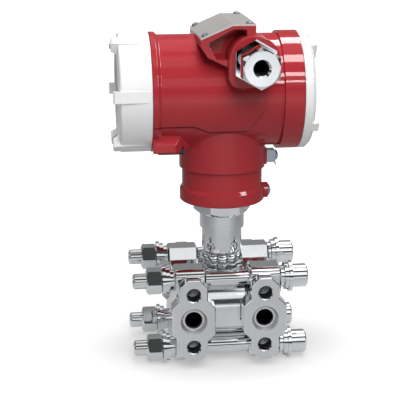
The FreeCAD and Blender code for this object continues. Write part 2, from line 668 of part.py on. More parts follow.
# Neck of the sensor: scalloped foot, fluted stem, sleeve, hexagon and the swivel spigot
def sensor_neck():
    sink = "(%s - foot_sink)" % capsule_top
    stem = turned("neck_stem", "Z", [
        (sink, 0), (sink, "waist_radius"), (stem_foot, "waist_radius"),
        (stem_foot, "(stem_radius - neck_edge)"), ("(%s + neck_edge)" % stem_foot, "stem_radius"),
        ("(%s - neck_edge)" % sleeve_foot, "stem_radius"), (sleeve_foot, "sleeve_radius"),
        ("(%s - neck_edge)" % hex_foot, "sleeve_radius"),
        (hex_foot, "(sleeve_radius - neck_edge)"), (hex_foot, 0),
    ])
    flutes, scallops = [], []
    for n in range(FLUTES):
        angle = math.radians(FLUTE_START + n * 360 / FLUTES)
        east, north = math.sin(angle), -math.cos(angle)
        flute = turned("flute_%d" % n, "Z", [
            (0, 0), ("flute_level", "flute_depth"), ("flute_height", 0),
        ])
        place(flute, "stem_radius * %.6f" % east, "stem_radius * %.6f" % north, stem_foot)
        flutes.append(flute)
    for n in range(2 * FLUTES):
        angle = math.radians(FLUTE_START + n * 180 / FLUTES)
        east, north = math.sin(angle), -math.cos(angle)
        ball = bind(doc.addObject("Part::Sphere", "scallop_%d" % n), Radius="foot_height * 2 / 3")
        reach = "(foot_radius - foot_height * 2 / 3)"
        level = "%s + foot_height / 3" % capsule_top
        scallops.append(place(ball, "%s * %.6f" % (reach, east), "%s * %.6f" % (reach, north), level))
    bar = hexagon("neck_bar", "Z", "hex_across", "hex_height", 0, 0, hex_foot)
    corner = "(hex_across / sqrt(3))"
    lens = turned("neck_lens", "Z", [
        (hex_foot, 0), (hex_foot, "(hex_across / 2 - neck_edge)"),
        ("(%s + hex_height / 4)" % hex_foot, corner), (hex_top, corner), (hex_top, 0),
    ])
    spigot_top = "(%s + swivel_height)" % hex_top
    groove = "(%s + swivel_height / 2)" % hex_top
    groove_end = "(%s + neck_ring_width)" % groove
    spigot = turned("neck_spigot", "Z", [
        (hex_top, 0), (hex_top, "swivel_radius"), (groove, "swivel_radius"),
        (groove, "(swivel_radius - neck_ring_width)"),
        (groove_end, "(swivel_radius - neck_ring_width)"), (groove_end, "swivel_radius"),
        ("(%s - neck_edge)" % spigot_top, "swivel_radius"),
        (spigot_top, "(swivel_radius - neck_edge)"), (spigot_top, 0),
    ])
    whole = fuse("neck_solid", [stem, common("neck_hexagon", [bar, lens]), spigot] + scallops)
    saddle = rod("neck_saddle", "X", "capsule_radius", "port_pitch", "-port_pitch / 2", 0, port_height)
    neck = cut("sensor_neck", whole, flutes + [saddle])
    seal = seal_ring("neck_oring", "Z", "(swivel_radius - neck_ring_width)",
                     "(neck_ring_width - swivel_gap)", groove)
    return [neck, seal]


# Vent valves in the rear ports: a hexagon plug with a small screw in it
def vent_valves():
    plugs, screws = [], []
    for sign, word in ((-1, "left"), (1, "right")):
        x = "%d * %s" % (sign, port_x)
        stub_start = "(%s - port_recess_depth - port_cone - plug_reach)" % port_face
        body = turned("plug_turned_" + word, "Y", [
            (stub_start, 0), (stub_start, "port_bore"),
            ("(%s - port_recess_depth - port_cone)" % port_face, "port_bore"),
            ("(%s - port_recess_depth)" % port_face, "port_mouth"), (port_face, "port_mouth"),
            (port_face, 0),
        ])
        place(body, x, 0, port_height)
        head = hexagon("plug_hex_" + word, "Y", "plug_across", "plug_hex",
                       x, port_face, port_height, FLATS_LEVEL)
        screw_end = "(%s + plug_hex)" % port_face
        bore_start = "(%s - vent_reach)" % screw_end
        bore = rod("plug_bore_" + word, "Y", "(vent_radius + swivel_fit)", "vent_reach",
                   x, bore_start, port_height)
        name = "vent_plug_" + word
        plugs.append(cut(name, fuse("plug_solid_" + word, [body, head]), [bore]))
        stem_start = "(%s + cover_gap)" % bore_start
        stem = rod("vent_stem_" + word, "Y", "vent_radius", "vent_reach", x, stem_start, port_height)
        cap_start = "(%s + cover_gap)" % screw_end
        cap = hexagon("vent_hex_" + word, "Y", "vent_across", "vent_hex",
                      x, cap_start, port_height, FLATS_LEVEL)
        screws.append(fuse("vent_screw_" + word, [stem, cap]))
    return plugs + screws


# Painted housing: a round body on a waisted neck, with a saddle, two conduit bosses, a lock
# boss and the pads of the ground terminal and the swivel screw
def housing_shell():
    """The round body with its rim and collar, hollowed a little under its contour line."""
    rim_end = "-(housing_half - rim_length)"
    slope_end = "-(housing_half - rim_length - rim_slope)"
    collar_start = "(housing_half - collar_length)"
    shell = turned("shell_turned", "X", [
        ("-housing_half", 0), ("-housing_half", "(body_radius + rim_step)"),
        (rim_end, "(body_radius + rim_step)"), (slope_end, "body_radius"),
        (collar_start, "body_radius"), (collar_start, "(body_radius + collar_step)"),
        ("housing_half", "(body_radius + collar_step)"), ("housing_half", 0),
    ])
    skin = ring("contour_skin", "X", "(body_radius - contour_step)",
                "(body_radius + cover_gap)", slope_end, collar_start)
    side = "entry_rise - entry_boss"
    field = slab("contour_field", "XZ_Plane", [
        (slope_end, "-contour_high"), ("-contour_left", "-contour_high"),
        ("-contour_bend", "-contour_low"), ("contour_bend", "-contour_low"),
        ("contour_right", "-contour_turn"), ("contour_right", "(%s)" % side),
        (collar_start, "(%s)" % side), (collar_start, "-(body_radius + contour_step)"),
        (slope_end, "-(body_radius + contour_step)"),
    ], "2 * body_radius + contour_step")
    body = cut("housing_shell", shell, [common("contour_hollow", [skin, field])])
    return place(body, 0, 0, head_axis)


def housing_neck():
    return turned("housing_neck", "Z", [
        (ring_foot, 0), (ring_foot, "(ring_radius - neck_edge)"),
        ("(%s + neck_edge)" % ring_foot, "ring_radius"), (ring_bevel, "ring_radius"),
        (throat_foot, "throat_radius"), (shoulder, "throat_radius"), (shoulder, "neck_radius"),
        (head_axis, "neck_radius"), (head_axis, 0),
    ])


def saddle():
    """The seat of the nameplate, with a pocket in its front."""
    rim_x = "-(saddle_left - saddle_rim)"
    underside = "(%s - saddle_drop)" % saddle_low
    solid = slab("saddle_block", "XZ_Plane", [
        ("-saddle_left", saddle_low), ("-saddle_left", "(%s - saddle_rim)" % saddle_low),
        (rim_x, "(%s - saddle_knee)" % saddle_low), ("-saddle_foot", underside),
        ("saddle_right", underside), ("saddle_right", saddle_high), ("saddle_fold", saddle_high),
    ], "%s + saddle_back" % saddle_front, "-saddle_back")
    lid = "(%s - saddle_lid)" % saddle_high
    floor = "(%s - pocket_floor)" % saddle_low
    side = "(saddle_right - pocket_side)"
    pocket = slab("saddle_pocket", "XZ_Plane", [
        (rim_x, "(%s - saddle_lid)" % saddle_low), ("saddle_fold", lid), (side, lid), (side, floor),
        ("-pocket_foot", floor),
    ], "pocket_depth", "%s - pocket_depth" % saddle_front)
    dressed(pocket, "Fillet", "pocket_corner", lambda edge: spans(edge, "y") > 1)
    return place(cut("saddle", solid, [pocket]), 0, 0, head_axis)


def entry_boss():
    """The front conduit boss: round, with a square lower corner towards the display side."""
    level = "%s + entry_rise" % head_axis
    root = "(%s - entry_taper)" % entry_front
    boss = turned("entry_boss_turned", "Y", [
        ("-" + entry_front, 0), ("-" + entry_front, "(entry_boss - neck_edge)"),
        ("-(%s - neck_edge)" % entry_front, "entry_boss"), ("-" + root, "entry_boss"),
        ("-(%s - entry_boss)" % root, "entry_bore"), ("-(%s - entry_boss)" % root, 0),
    ])
    place(boss, "entry_x", 0, level)
    corner = slab("entry_corner", "XZ_Plane", [
        ("-entry_boss", 0), (0, 0), (0, "-entry_boss"), ("-entry_boss", "-entry_boss"),
    ], "entry_taper", root)
    place(corner, "entry_x", 0, level)
    edge_x = -number("entry_boss")

    def lower_corner(edge):
        box = edge.BoundBox
        outside = abs(box.XMin - edge_x) < 0.01 and abs(box.ZMin - edge_x) < 0.01
        return spans(edge, "y") > 1 and outside

    dressed(corner, "Fillet", "entry_corner", lower_corner)
    return [boss, corner]


def lock_boss():
    """A wedge under the body's front, common to its side view and its top view."""
    front = "(body_radius - lock_inset)"
    back = "(%s - lock_depth)" % front
    low = "(body_radius - lock_base)"
    ridge = "(%s - lock_face)" % low
    side = slab("lock_side", "YZ_Plane", [
        ("-" + front, "-" + low), ("-" + front, "-" + ridge),
        ("-" + back, "-(%s - lock_depth)" % ridge), ("-" + back, "-" + low),
    ], "lock_reach + lock_slant", "-housing_half")
    front_y = -number(front)

    def front_edge(edge):
        return spans(edge, "x") > 1 and abs(edge.BoundBox.YMin - front_y) < 0.01

    dressed(side, "Fillet", "lock_round", front_edge)
    top = slab("lock_top", "XY_Plane", [
        ("-housing_half", "-" + front), ("-(housing_half - lock_reach)", "-" + front),
        ("-(housing_half - lock_reach - lock_slant)", "-" + back), ("-housing_half", "-" + back),
    ], "body_radius", "-body_radius")
    return place(common("lock_boss", [side, top]), 0, 0, head_axis)


def chambers():
    """The two chambers with the bores of their seal rings."""
    seal_room = "oring_width + cover_gap"
    seal_bore = "%s + %s" % (chamber_radius, seal_room)
    return [
        rod("display_chamber", "X", chamber_radius, "housing_half - wall_place",
            "-housing_half", 0, head_axis),
        rod("terminal_chamber", "X", chamber_radius, "housing_half - %s" % terminal_floor,
            terminal_floor, 0, head_axis),
        rod("seal_bore_left", "X", seal_bore, seal_room, "-housing_half", 0, head_axis),
        rod("seal_bore_right", "X", seal_bore, seal_room, "housing_half - (%s)" % seal_room,
            0, head_axis),
    ]


def housing():
    rear = rod("rear_boss", "Y", "rear_boss", entry_front, "entry_x", 0, "%s + rear_rise" % head_axis)
    screw_pad = rod("swivel_pad", "X", "swivel_pad", "swivel_pad",
                    "ring_radius - swivel_pad / 2", 0, swivel_level)
    lug = block("ground_pad", "ground_pad + body_wall", "ground_size", "pad_height",
                "neck_radius - body_wall", "-ground_size / 2", "%s - pad_height / 2" % ground_level)
    solid = [housing_shell(), housing_neck(), saddle(), lock_boss(), rear, screw_pad, lug]
    solid += entry_boss()
    holes = chambers() + [
        rod("swivel_bore", "Z", "swivel_radius + swivel_fit", "swivel_height + 2 * swivel_gap",
            0, 0, ring_foot),
        rod("wire_way", "Z", "wire_radius", "%s - %s - swivel_height" % (head_axis, ring_foot),
            "-(wall_place + wire_radius)", 0, "%s + swivel_height" % ring_foot),
        rod("entry_bore_front", "Y", "entry_bore", entry_front, "entry_x", "-" + entry_front,
            "%s + entry_rise" % head_axis),
        rod("entry_bore_back", "Y", "entry_bore", entry_front, "entry_x", 0,
            "%s + rear_rise" % head_axis),
        rod("swivel_hole", "X", "swivel_screw", "ring_radius", "swivel_radius - neck_edge",
            0, swivel_level),
        rod("ground_hole", "X", "ground_screw", "ground_reach", "%s - ground_reach" % ground_face,
            0, ground_level),
        rod("lock_hole", "X", "lock_screw", "lock_length", lock_end, lock_middle, lock_level),
    ]
    holes += plate_screws("plate_hole", hole=True)
    return cut("housing", fuse("housing_solid", solid), holes)


def plate_screws(name, hole=False):
    """Screws of the nameplate, or the holes that they stand in."""
    made = []
    slope = "atan((saddle_climb - saddle_step) / (saddle_left + saddle_fold))"
    depth = "(4 * plate_screw)"
    for n, (tilted, y) in enumerate([(t, y) for t in (True, False) for y in (-1, 1)]):
        profile = [("-" + depth, 0), ("-" + depth, "plate_screw")]
        if hole:
            profile += [("plate_thick", "plate_screw"), ("plate_thick", 0)]
        else:
            profile += [
                ("plate_thick", "plate_screw"), ("plate_thick", "plate_head"),
                ("(plate_thick + plate_head * 0.3)", "plate_head"),
                ("(plate_thick + plate_head * 0.6)", "plate_head * 0.5"),
                ("(plate_thick + plate_head * 0.6)", 0),
            ]
        piece = turned("%s_%d" % (name, n), "Z", profile)
        across = "-(%s - plate_inset)" % saddle_front if y < 0 else "saddle_back - plate_inset"
        if tilted:
            piece.Placement = Placement(Vector(), Rotation(Vector(0, -1, 0), number(slope)))
            bind(piece, Placement__Rotation__Angle=slope)
            x = "-saddle_left + plate_inset * cos(%s)" % slope
            z = "%s + %s + plate_inset * sin(%s)" % (head_axis, saddle_low, slope)
        else:
            x, z = "saddle_right - plate_inset", "%s + %s" % (head_axis, saddle_high)
        made.append(place(piece, x, across, z))
    return made


def nameplate():
    sheet_metal = slab("plate_sheet", "XZ_Plane", [
        ("-saddle_left", saddle_low), ("saddle_fold", saddle_high), ("saddle_right", saddle_high),
        ("saddle_right", "(%s + plate_thick)" % saddle_high),
        ("saddle_fold", "(%s + plate_thick)" % saddle_high),
        ("-saddle_left", "(%s + plate_thick)" % saddle_low),
    ], "%s + saddle_back" % saddle_front, "-saddle_back")
    place(sheet_metal, 0, 0, head_axis)
    plate = cut("nameplate", sheet_metal, plate_screws("plate_clear", hole=True))
    return [plate, group("nameplate_screws", plate_screws("plate_screw"))]


# Fastenings on the housing: swivel screw, ground terminal and cover lock
def swivel_screw():
    pad_end = "(ring_radius + swivel_pad / 2)"
    grub_start = "(swivel_radius + swivel_gap)"
    dome = "(%s + swivel_head * 0.5)" % pad_end
    screw = turned("swivel_screw", "X", [
        (grub_start, 0), (grub_start, "swivel_screw"), (pad_end, "swivel_screw"),
        (pad_end, "swivel_head"), ("(%s + swivel_head * 0.2)" % pad_end, "swivel_head"),
        (dome, "swivel_head * 0.5"), (dome, 0),
    ])
    return place(screw, 0, 0, swivel_level)


def ground_terminal():
    body = block("ground_block", "ground_depth", "ground_size", "ground_size", ground_face,
                 "-ground_size / 2", "%s - ground_size / 2" % ground_level)
    clear = rod("ground_clear", "X", "ground_screw", "ground_depth", ground_face, 0, ground_level)
    clamp = cut("ground_clamp", body, [clear])
    face = "(%s + ground_depth)" % ground_face
    tail = slab("ground_strip", "XZ_Plane", [
        (0, "ground_size / 3"), ("washer_sheet", "ground_size / 3"), ("washer_sheet", "-ground_size / 2"),
        ("2 * washer_sheet", "-ground_size * 0.8"), ("washer_sheet", "-ground_size * 0.8"),
        (0, "-ground_size / 2"),
    ], "ground_size * 0.6")
    place(tail, face, 0, ground_level)
    hole = rod("ground_strip_hole", "X", "ground_screw", "washer_sheet", face, 0, ground_level)
    washer = cut("ground_washer", tail, [hole])
    tip = "(%s - ground_reach)" % ground_face
    head = "(%s + washer_sheet)" % face
    dome = "(%s + ground_head * 0.55)" % head
    screw = turned("ground_screw", "X", [
        (tip, 0), (tip, "ground_screw"), (head, "ground_screw"), (head, "ground_head"),
        ("(%s + ground_head * 0.25)" % head, "ground_head"), (dome, "ground_head * 0.5"), (dome, 0),
    ])
    return [clamp, washer, place(screw, 0, 0, ground_level)]


def cover_lock():
    bar = rod("cover_lock_bar", "X", "lock_screw", "lock_length", lock_end, lock_middle, lock_level)
    socket = hexagon("cover_lock_socket", "X", "lock_screw", "lock_screw",
                     "%s + lock_length - lock_screw" % lock_end, lock_middle, lock_level)
    return cut("cover_lock_screw", bar, [socket])


# Covers: a threaded spigot, an end face with raised lugs, and a seal ring behind the face
def lugs(name, outline_corners, width, start, count):
    made = []
    for n in range(count):
        lug = slab("%s_%d" % (name, n), "XZ_Plane", outline_corners, width)
        turn = Rotation(Vector(1, 0, 0), start - n * 360 / count)
        made.append(place(lug, 0, 0, head_axis, turn))
    return made


def display_cover():
    end = "(%s + display_reach)" % cover_face
    floor = "(%s - end_wall)" % end
    thread_end = "-(%s - cover_thread)" % cover_face
    brow = "(%s + display_bulge)" % end
    shell = turned("display_cover_shell", "X", [
        (thread_end, bowl_radius), (thread_end, spigot_radius),
        ("-" + cover_face, spigot_radius), ("-" + cover_face, cover_radius),
        ("-(%s - cover_edge)" % end, cover_radius), ("-" + end, "(%s - cover_edge)" % cover_radius),
        ("-" + brow, "(%s + cover_edge)" % display_opening),
        ("-(%s - cover_edge)" % brow, display_opening),
        ("-" + floor, display_opening), ("-" + floor, bowl_radius),
    ])
    place(shell, 0, 0, head_axis)
    tip = "(%s + lug_height)" % end
    inner = "(%s + lug_ledge)" % display_opening
    outer = "(%s + lug_proud)" % cover_radius
    buried = "(%s - lug_proud)" % cover_radius
    fade = "-(%s + rib_start)" % cover_face
    root = "-(%s - end_wall / 2)" % end
    outline_corners = [
        ("-" + tip, "(%s + lug_slant)" % inner), ("-" + tip, cover_radius),
        ("-(%s - cover_edge)" % tip, outer), ("-" + end, outer), (fade, cover_radius),
        (fade, buried), (root, buried), (root, inner), ("-" + end, inner),
    ]
    made = lugs("display_lug", outline_corners, "lug_width", DISPLAY_LUG_START, DISPLAY_LUGS)
    return fuse("display_cover", [shell] + made)


def terminal_cover():
    end = "(%s + terminal_reach)" % cover_face
    floor = "(%s - end_wall)" % end
    thread_end = "(%s - cover_thread)" % cover_face
    brow = "(%s - cover_round)" % cover_radius
    shell = turned("terminal_cover_shell", "X", [
        (thread_end, bowl_radius), (thread_end, spigot_radius),
        (cover_face, spigot_radius), (cover_face, cover_radius),
        ("(%s - cover_round)" % end, cover_radius), (end, brow),
        (end, 0), (floor, 0), (floor, bowl_radius),
    ])
    place(shell, 0, 0, head_axis)
    tip = "(%s + tab_height)" % end
    root = "(%s - end_wall / 2)" % end
    inner = "(%s - tab_length)" % cover_radius
    outline_corners = [
        (tip, "(%s + cover_edge)" % inner), (tip, "(%s - cover_edge)" % cover_radius),
        ("(%s - cover_edge)" % tip, cover_radius), ("(%s - cover_round)" % end, cover_radius),
        (root, "(%s - cover_edge)" % brow), (root, inner), (end, inner),
    ]
    made = lugs("terminal_lug", outline_corners, "tab_width", TERMINAL_LUG_START, TERMINAL_LUGS)
    return fuse("terminal_cover", [shell] + made)


def cover_seals():
    left = seal_ring("display_cover_oring", "X", chamber_radius, "oring_width", "-housing_half")
    right = seal_ring("terminal_cover_oring", "X", chamber_radius, "oring_width",
                      "housing_half - oring_width")
    return [place(left, 0, 0, head_axis), place(right, 0, 0, head_axis)]


# What the display cover holds, from the window inwards
def window():
    floor = "(%s + display_reach - end_wall)" % cover_face
    glass_front = "(%s - glass_gasket)" % floor
    glass_back = "(%s - glass_thick)" % glass_front
    rest = "(%s - retainer_thick)" % glass_back
    pad = ring("glass_gasket", "X", display_opening, bowl_radius, "-" + floor, "-" + glass_front)
    glass = rod("display_glass", "X", bowl_radius, "glass_thick", "-" + glass_front, 0, head_axis)
    hold = ring("glass_retainer", "X", display_opening, bowl_radius, "-" + glass_back, "-" + rest)
    for piece in (pad, hold):
        place(piece, 0, 0, head_axis)
    return [pad, glass, hold]


# Inserts of the two chambers
def display_inserts():
    split = "(wall_place + electronics_depth)"
    front = "(%s + display_thick)" % split
    radius = "%s - module_play" % bowl_radius
    return [
        rod("electronics_module", "X", radius, "electronics_depth", "-" + split, 0, head_axis),
        rod("display_module", "X", radius, "display_thick", "-" + front, 0, head_axis),
        block("display_screen", "screen_thick", "screen_width", "screen_height",
              "-(%s + screen_thick)" % front, "-screen_width / 2",
              "%s - screen_height / 2" % head_axis),
    ]


def terminal_inserts():
    base = rod("terminal_base", "X", "block_radius", "terminal_thick", terminal_floor, 0, head_axis)
    low = "(%s + terminal_thick / 2)" % terminal_floor
    pockets, screws = [], []
    for n in range(TERMINALS):
        y = "%.1f * block_radius / 2" % (n - (TERMINALS - 1) / 2)
        pockets.append(rod("terminal_pocket_%d" % n, "X", "terminal_head", "terminal_thick / 2",
                           low, y, head_axis))
        head = rod("terminal_head_%d" % n, "X", "terminal_head - cover_gap", "terminal_thick / 4",
                   low, y, head_axis)
        slot = block("terminal_slot_%d" % n, "terminal_slot", "2 * terminal_head", "terminal_slot",
                     "%s + terminal_thick / 4 - terminal_slot" % low, "%s - terminal_head" % y,
                     "%s - terminal_slot / 2" % head_axis)
        screws.append(cut("terminal_screw_%d" % n, head, [slot]))
    return [cut("terminal_block", base, pockets), group("terminal_screws", screws)]


# Cable gland in the front entry and the blanking plug in the rear one
gland_front = "(%s + gland_hex)" % entry_front
gland_end = "(%s + gland_reach)" % gland_front
entry_level = "(%s + entry_rise)" % head_axis


def cable_gland():
    seal_floor = "(%s - seal_depth)" % gland_end
    way = "(cable_radius + cover_edge)"
    root = "(%s - gland_root)" % entry_front
    tube = turned("gland_tube", "Y", [
        ("-%s" % gland_end, "seal_radius"), ("-%s" % gland_end, "(gland_thread - cover_edge / 2)"),
        ("-(%s - cover_edge / 2)" % gland_end, "gland_thread"), ("-" + gland_front, "gland_thread"),
        ("-" + entry_front, "gland_thread"), ("-" + entry_front, "entry_bore"),
        ("-" + root, "entry_bore"), ("-" + root, way), ("-" + seal_floor, way),
        ("-" + seal_floor, "seal_radius"),
    ])
    place(tube, "entry_x", 0, entry_level)
    collar = hexagon("gland_collar", "Y", "gland_across", "gland_hex",
                     "entry_x", "-" + gland_front, entry_level, FLATS_LEVEL)
    hole = rod("gland_collar_hole", "Y", "gland_thread - cover_edge", "gland_hex",
               "entry_x", "-" + gland_front, entry_level)
    body = fuse("gland_body", [tube, cut("gland_collar_ring", collar, [hole])])
    seal = ring("gland_seal", "Y", "cable_radius", "seal_radius",
                "-(%s - cover_edge)" % gland_end, "-" + seal_floor)
    return [body, place(seal, "entry_x", 0, entry_level)]


def gland_cap():
    """The gland nut with the pressure ring behind its wall."""
    wall = "(%s + ring_thick + 2 * cover_gap)" % gland_end
    end = "(%s + cap_wall)" % wall
    start = "(%s - cap_length)" % end
    washer = ring("gland_ring", "Y", "(cable_radius + cover_gap)", "(gland_thread - cover_gap)",
                  "-(%s - cover_gap)" % wall, "-(%s + cover_gap)" % gland_end)
    place(washer, "entry_x", 0, entry_level)
    bar = hexagon("cap_bar", "Y", "cap_across", "cap_length", "entry_x", "-" + end, entry_level, FLATS_LEVEL)
    corner = "(cap_across / sqrt(3))"
    lens = turned("cap_lens", "Y", [
        ("-" + end, 0), ("-" + end, "cap_face"), ("-(%s - cap_lip)" % end, "cap_face"),
        ("-(%s - cap_lip)" % end, "(cap_face + cap_lip)"), ("-(%s - cap_lip - cap_bevel)" % end, corner),
        ("-" + start, corner), ("-" + start, 0),
    ])
    place(lens, "entry_x", 0, entry_level)
    inside = turned("cap_inside", "Y", [
        ("-" + end, 0), ("-" + end, "(cable_radius + cap_mouth)"),
        ("-(%s - cap_mouth)" % end, "cable_radius"), ("-" + wall, "cable_radius"),
        ("-" + wall, "(gland_thread + swivel_fit)"), ("-" + start, "(gland_thread + swivel_fit)"),
        ("-" + start, 0),
    ])
    place(inside, "entry_x", 0, entry_level)
    return [washer, cut("gland_nut", common("cap_solid", [bar, lens]), [inside])]


def entry_plug():
    level = "(%s + rear_rise)" % head_axis
    end = "(%s + cover_round)" % entry_front
    root = "(%s - gland_root)" % entry_front
    plug = turned("plug_turned", "Y", [
        (root, 0), (root, "entry_bore"), (entry_front, "entry_bore"),
        (entry_front, "(rear_boss - cover_round)"), (end, "(rear_boss - cover_round)"), (end, 0),
    ])
    place(plug, "entry_x", 0, level)
    socket = hexagon("plug_socket", "Y", "socket_across", "socket_depth",
                     "entry_x", "%s - socket_depth" % end, level)
    return cut("entry_plug", plug, [socket])


pieces = process_flanges() + sensor_capsule() + flange_fasteners() + sensor_neck() + vent_valves()
pieces += [housing()] + nameplate() + [swivel_screw()] + ground_terminal() + [cover_lock()]
pieces += [display_cover(), terminal_cover()] + cover_seals() + window()
pieces += display_inserts() + terminal_inserts() + cable_gland() + gland_cap() + [entry_plug()]
doc.recompute()

for thing in doc.Objects:
    if "Invalid" in thing.State or "Error" in thing.State:
        raise ValueError("%s: %s" % (thing.Name, thing.State))
for piece in pieces:
    if piece.Shape.isNull() or not piece.Shape.isValid():
        raise ValueError("%s has no valid shape" % piece.Label)

os.makedirs("parts", exist_ok=True)
for piece in pieces:
    piece.Shape.exportStep("parts/%s.step" % piece.Label)
    print("%-24s %2d solids %9.0f mm3" % (piece.Label, len(piece.Shape.Solids), piece.Shape.Volume))
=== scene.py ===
import json
import math

import bpy
from mathutils import Matrix, Vector

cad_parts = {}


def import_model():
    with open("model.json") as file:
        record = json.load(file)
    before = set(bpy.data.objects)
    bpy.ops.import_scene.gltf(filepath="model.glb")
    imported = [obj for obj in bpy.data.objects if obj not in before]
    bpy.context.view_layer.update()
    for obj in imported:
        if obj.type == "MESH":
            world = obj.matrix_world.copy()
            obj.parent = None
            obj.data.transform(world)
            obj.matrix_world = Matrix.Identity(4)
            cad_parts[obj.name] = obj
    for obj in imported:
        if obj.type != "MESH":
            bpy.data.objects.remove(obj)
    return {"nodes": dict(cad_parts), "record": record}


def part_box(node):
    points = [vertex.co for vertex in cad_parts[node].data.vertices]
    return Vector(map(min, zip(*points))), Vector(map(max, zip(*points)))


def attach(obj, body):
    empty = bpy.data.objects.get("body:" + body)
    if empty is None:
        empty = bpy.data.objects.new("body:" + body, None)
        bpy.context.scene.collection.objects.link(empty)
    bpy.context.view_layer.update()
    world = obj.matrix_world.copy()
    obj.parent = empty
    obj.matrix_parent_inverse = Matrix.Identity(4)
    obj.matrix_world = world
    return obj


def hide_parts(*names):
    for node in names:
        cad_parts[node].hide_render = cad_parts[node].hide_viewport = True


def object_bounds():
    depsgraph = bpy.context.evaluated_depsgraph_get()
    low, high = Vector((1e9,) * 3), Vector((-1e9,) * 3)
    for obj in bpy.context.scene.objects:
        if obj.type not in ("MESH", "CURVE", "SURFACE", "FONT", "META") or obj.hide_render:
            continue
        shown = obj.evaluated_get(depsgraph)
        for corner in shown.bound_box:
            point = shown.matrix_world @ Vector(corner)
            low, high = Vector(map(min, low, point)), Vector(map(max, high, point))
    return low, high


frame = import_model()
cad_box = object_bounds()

nodes = frame["nodes"]

MM = 0.001

# Places that the frame gives: the floor and the height of the housing's axis
FLOOR = cad_box[0].z
HEAD_AXIS = sum(corner.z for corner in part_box("display_glass")) / 2

# The housing's contour line, a groove darkened by painted shade: (place to the right of the neck's axis,
# drop under the housing's axis) in mm, how far from the line its dark core and its edge reach, and the drop
# over which it fades in
CONTOUR = ((-54, 19.9), (-25.4, 19.9), (-13.8, 24.9), (13.8, 24.9), (26.2, 7.5), (26.8, -20))
CONTOUR_SPAN = 55 * MM
CONTOUR_CORE = 0.25 * MM
CONTOUR_EDGE = 0.8 * MM
CONTOUR_FADE = 12 * MM

# A port from the middle of both flanges: its distance aside, that of its face along Y, and its height
FLANGE_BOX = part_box("process_flange_left")
PORT_PLACE = Vector((27 * MM, -FLANGE_BOX[0].y, sum(corner.z for corner in FLANGE_BOX) / 2))

# Depth of what still counts as a port's face
FACE_DEPTH = 0.2 * MM

# The hole of a port, by radii: a recess, and a bore that starts deeper than the face
RECESS = 11.5 * MM
RECESS_DEPTH = 7 * MM
PORT_BORE = 6.1 * MM
BORE_START = 5.0 * MM

# The tapped holes above and under a port: their distance, their radius and how deep they start
TAP_PITCH = 41.3 * MM
TAP_BORE = 5.4 * MM
TAP_START = 0.9 * MM

# The valleys between a flange's lobes: the edges of their floors, by distances along Y and Z from the
# flange's middle, with the reach of the chamfer there, and how much farther out the photograph shows them
VALLEY_EDGE = (12.4 * MM, 26.8 * MM)
VALLEY_CHAMFER = 1 * MM
VALLEY_WIDER = 3.5 * MM


class Nodes:
    """A node tree with short ways to add nodes to it."""

    def __init__(self, tree):
        self.tree = tree

    def node(self, kind, **settings):
        made = self.tree.nodes.new("ShaderNode" + kind)
        for name, value in settings.items():
            setattr(made, name, value)
        return made

    def link(self, source, target):
        self.tree.links.new(source, target)

    def between(self, value, low, high, from_low=0.35, from_high=0.65):
        """A value carried from one span to another; the usual span is where a noise mostly lies."""
        made = self.node("MapRange")
        made.inputs["From Min"].default_value = from_low
        made.inputs["From Max"].default_value = from_high
        made.inputs["To Min"].default_value = low
        made.inputs["To Max"].default_value = high
        self.link(value, made.inputs["Value"])
        return made.outputs["Result"]

    def math(self, operation, *values):
        """One step of arithmetic on one or two values, each a number or a socket."""
        made = self.node("Math", operation=operation)
        for socket, value in zip(made.inputs, values):
            if isinstance(value, (int, float)):
                socket.default_value = value
            else:
                self.link(value, socket)
        return made.outputs["Value"]

    def mix(self, fac, a, b):
        """Blend two colours by a value."""
        made = self.node("Mix", data_type="RGBA")
        self.link(fac, made.inputs["Factor"])
        return self.join(made, a, b)

    def multiply(self, a, b):
        made = self.node("Mix", data_type="RGBA", blend_type="MULTIPLY")
        made.inputs["Factor"].default_value = 1.0
        return self.join(made, a, b)

    def join(self, made, *colors):
        """Give a colour mix its two colours, each a tuple or a socket."""
        sockets = [socket for socket in made.inputs if socket.type == "RGBA"]
        for socket, color in zip(sockets, colors):
            if isinstance(color, tuple):
                socket.default_value = (*color, 1.0)
            else:
                self.link(color, socket)
        return [socket for socket in made.outputs if socket.type == "RGBA"][0]

    def ramp(self, value, stops):
        """A value read off a line through (value, height) points."""
        made = self.node("ValToRGB")
        points = made.color_ramp.elements
        while len(points) < len(stops):
            points.new(1.0)
        for point, (position, height) in zip(points, stops):
            point.position = position
            point.color = (height, height, height, 1)
        self.link(value, made.inputs["Fac"])
        return made.outputs["Color"]


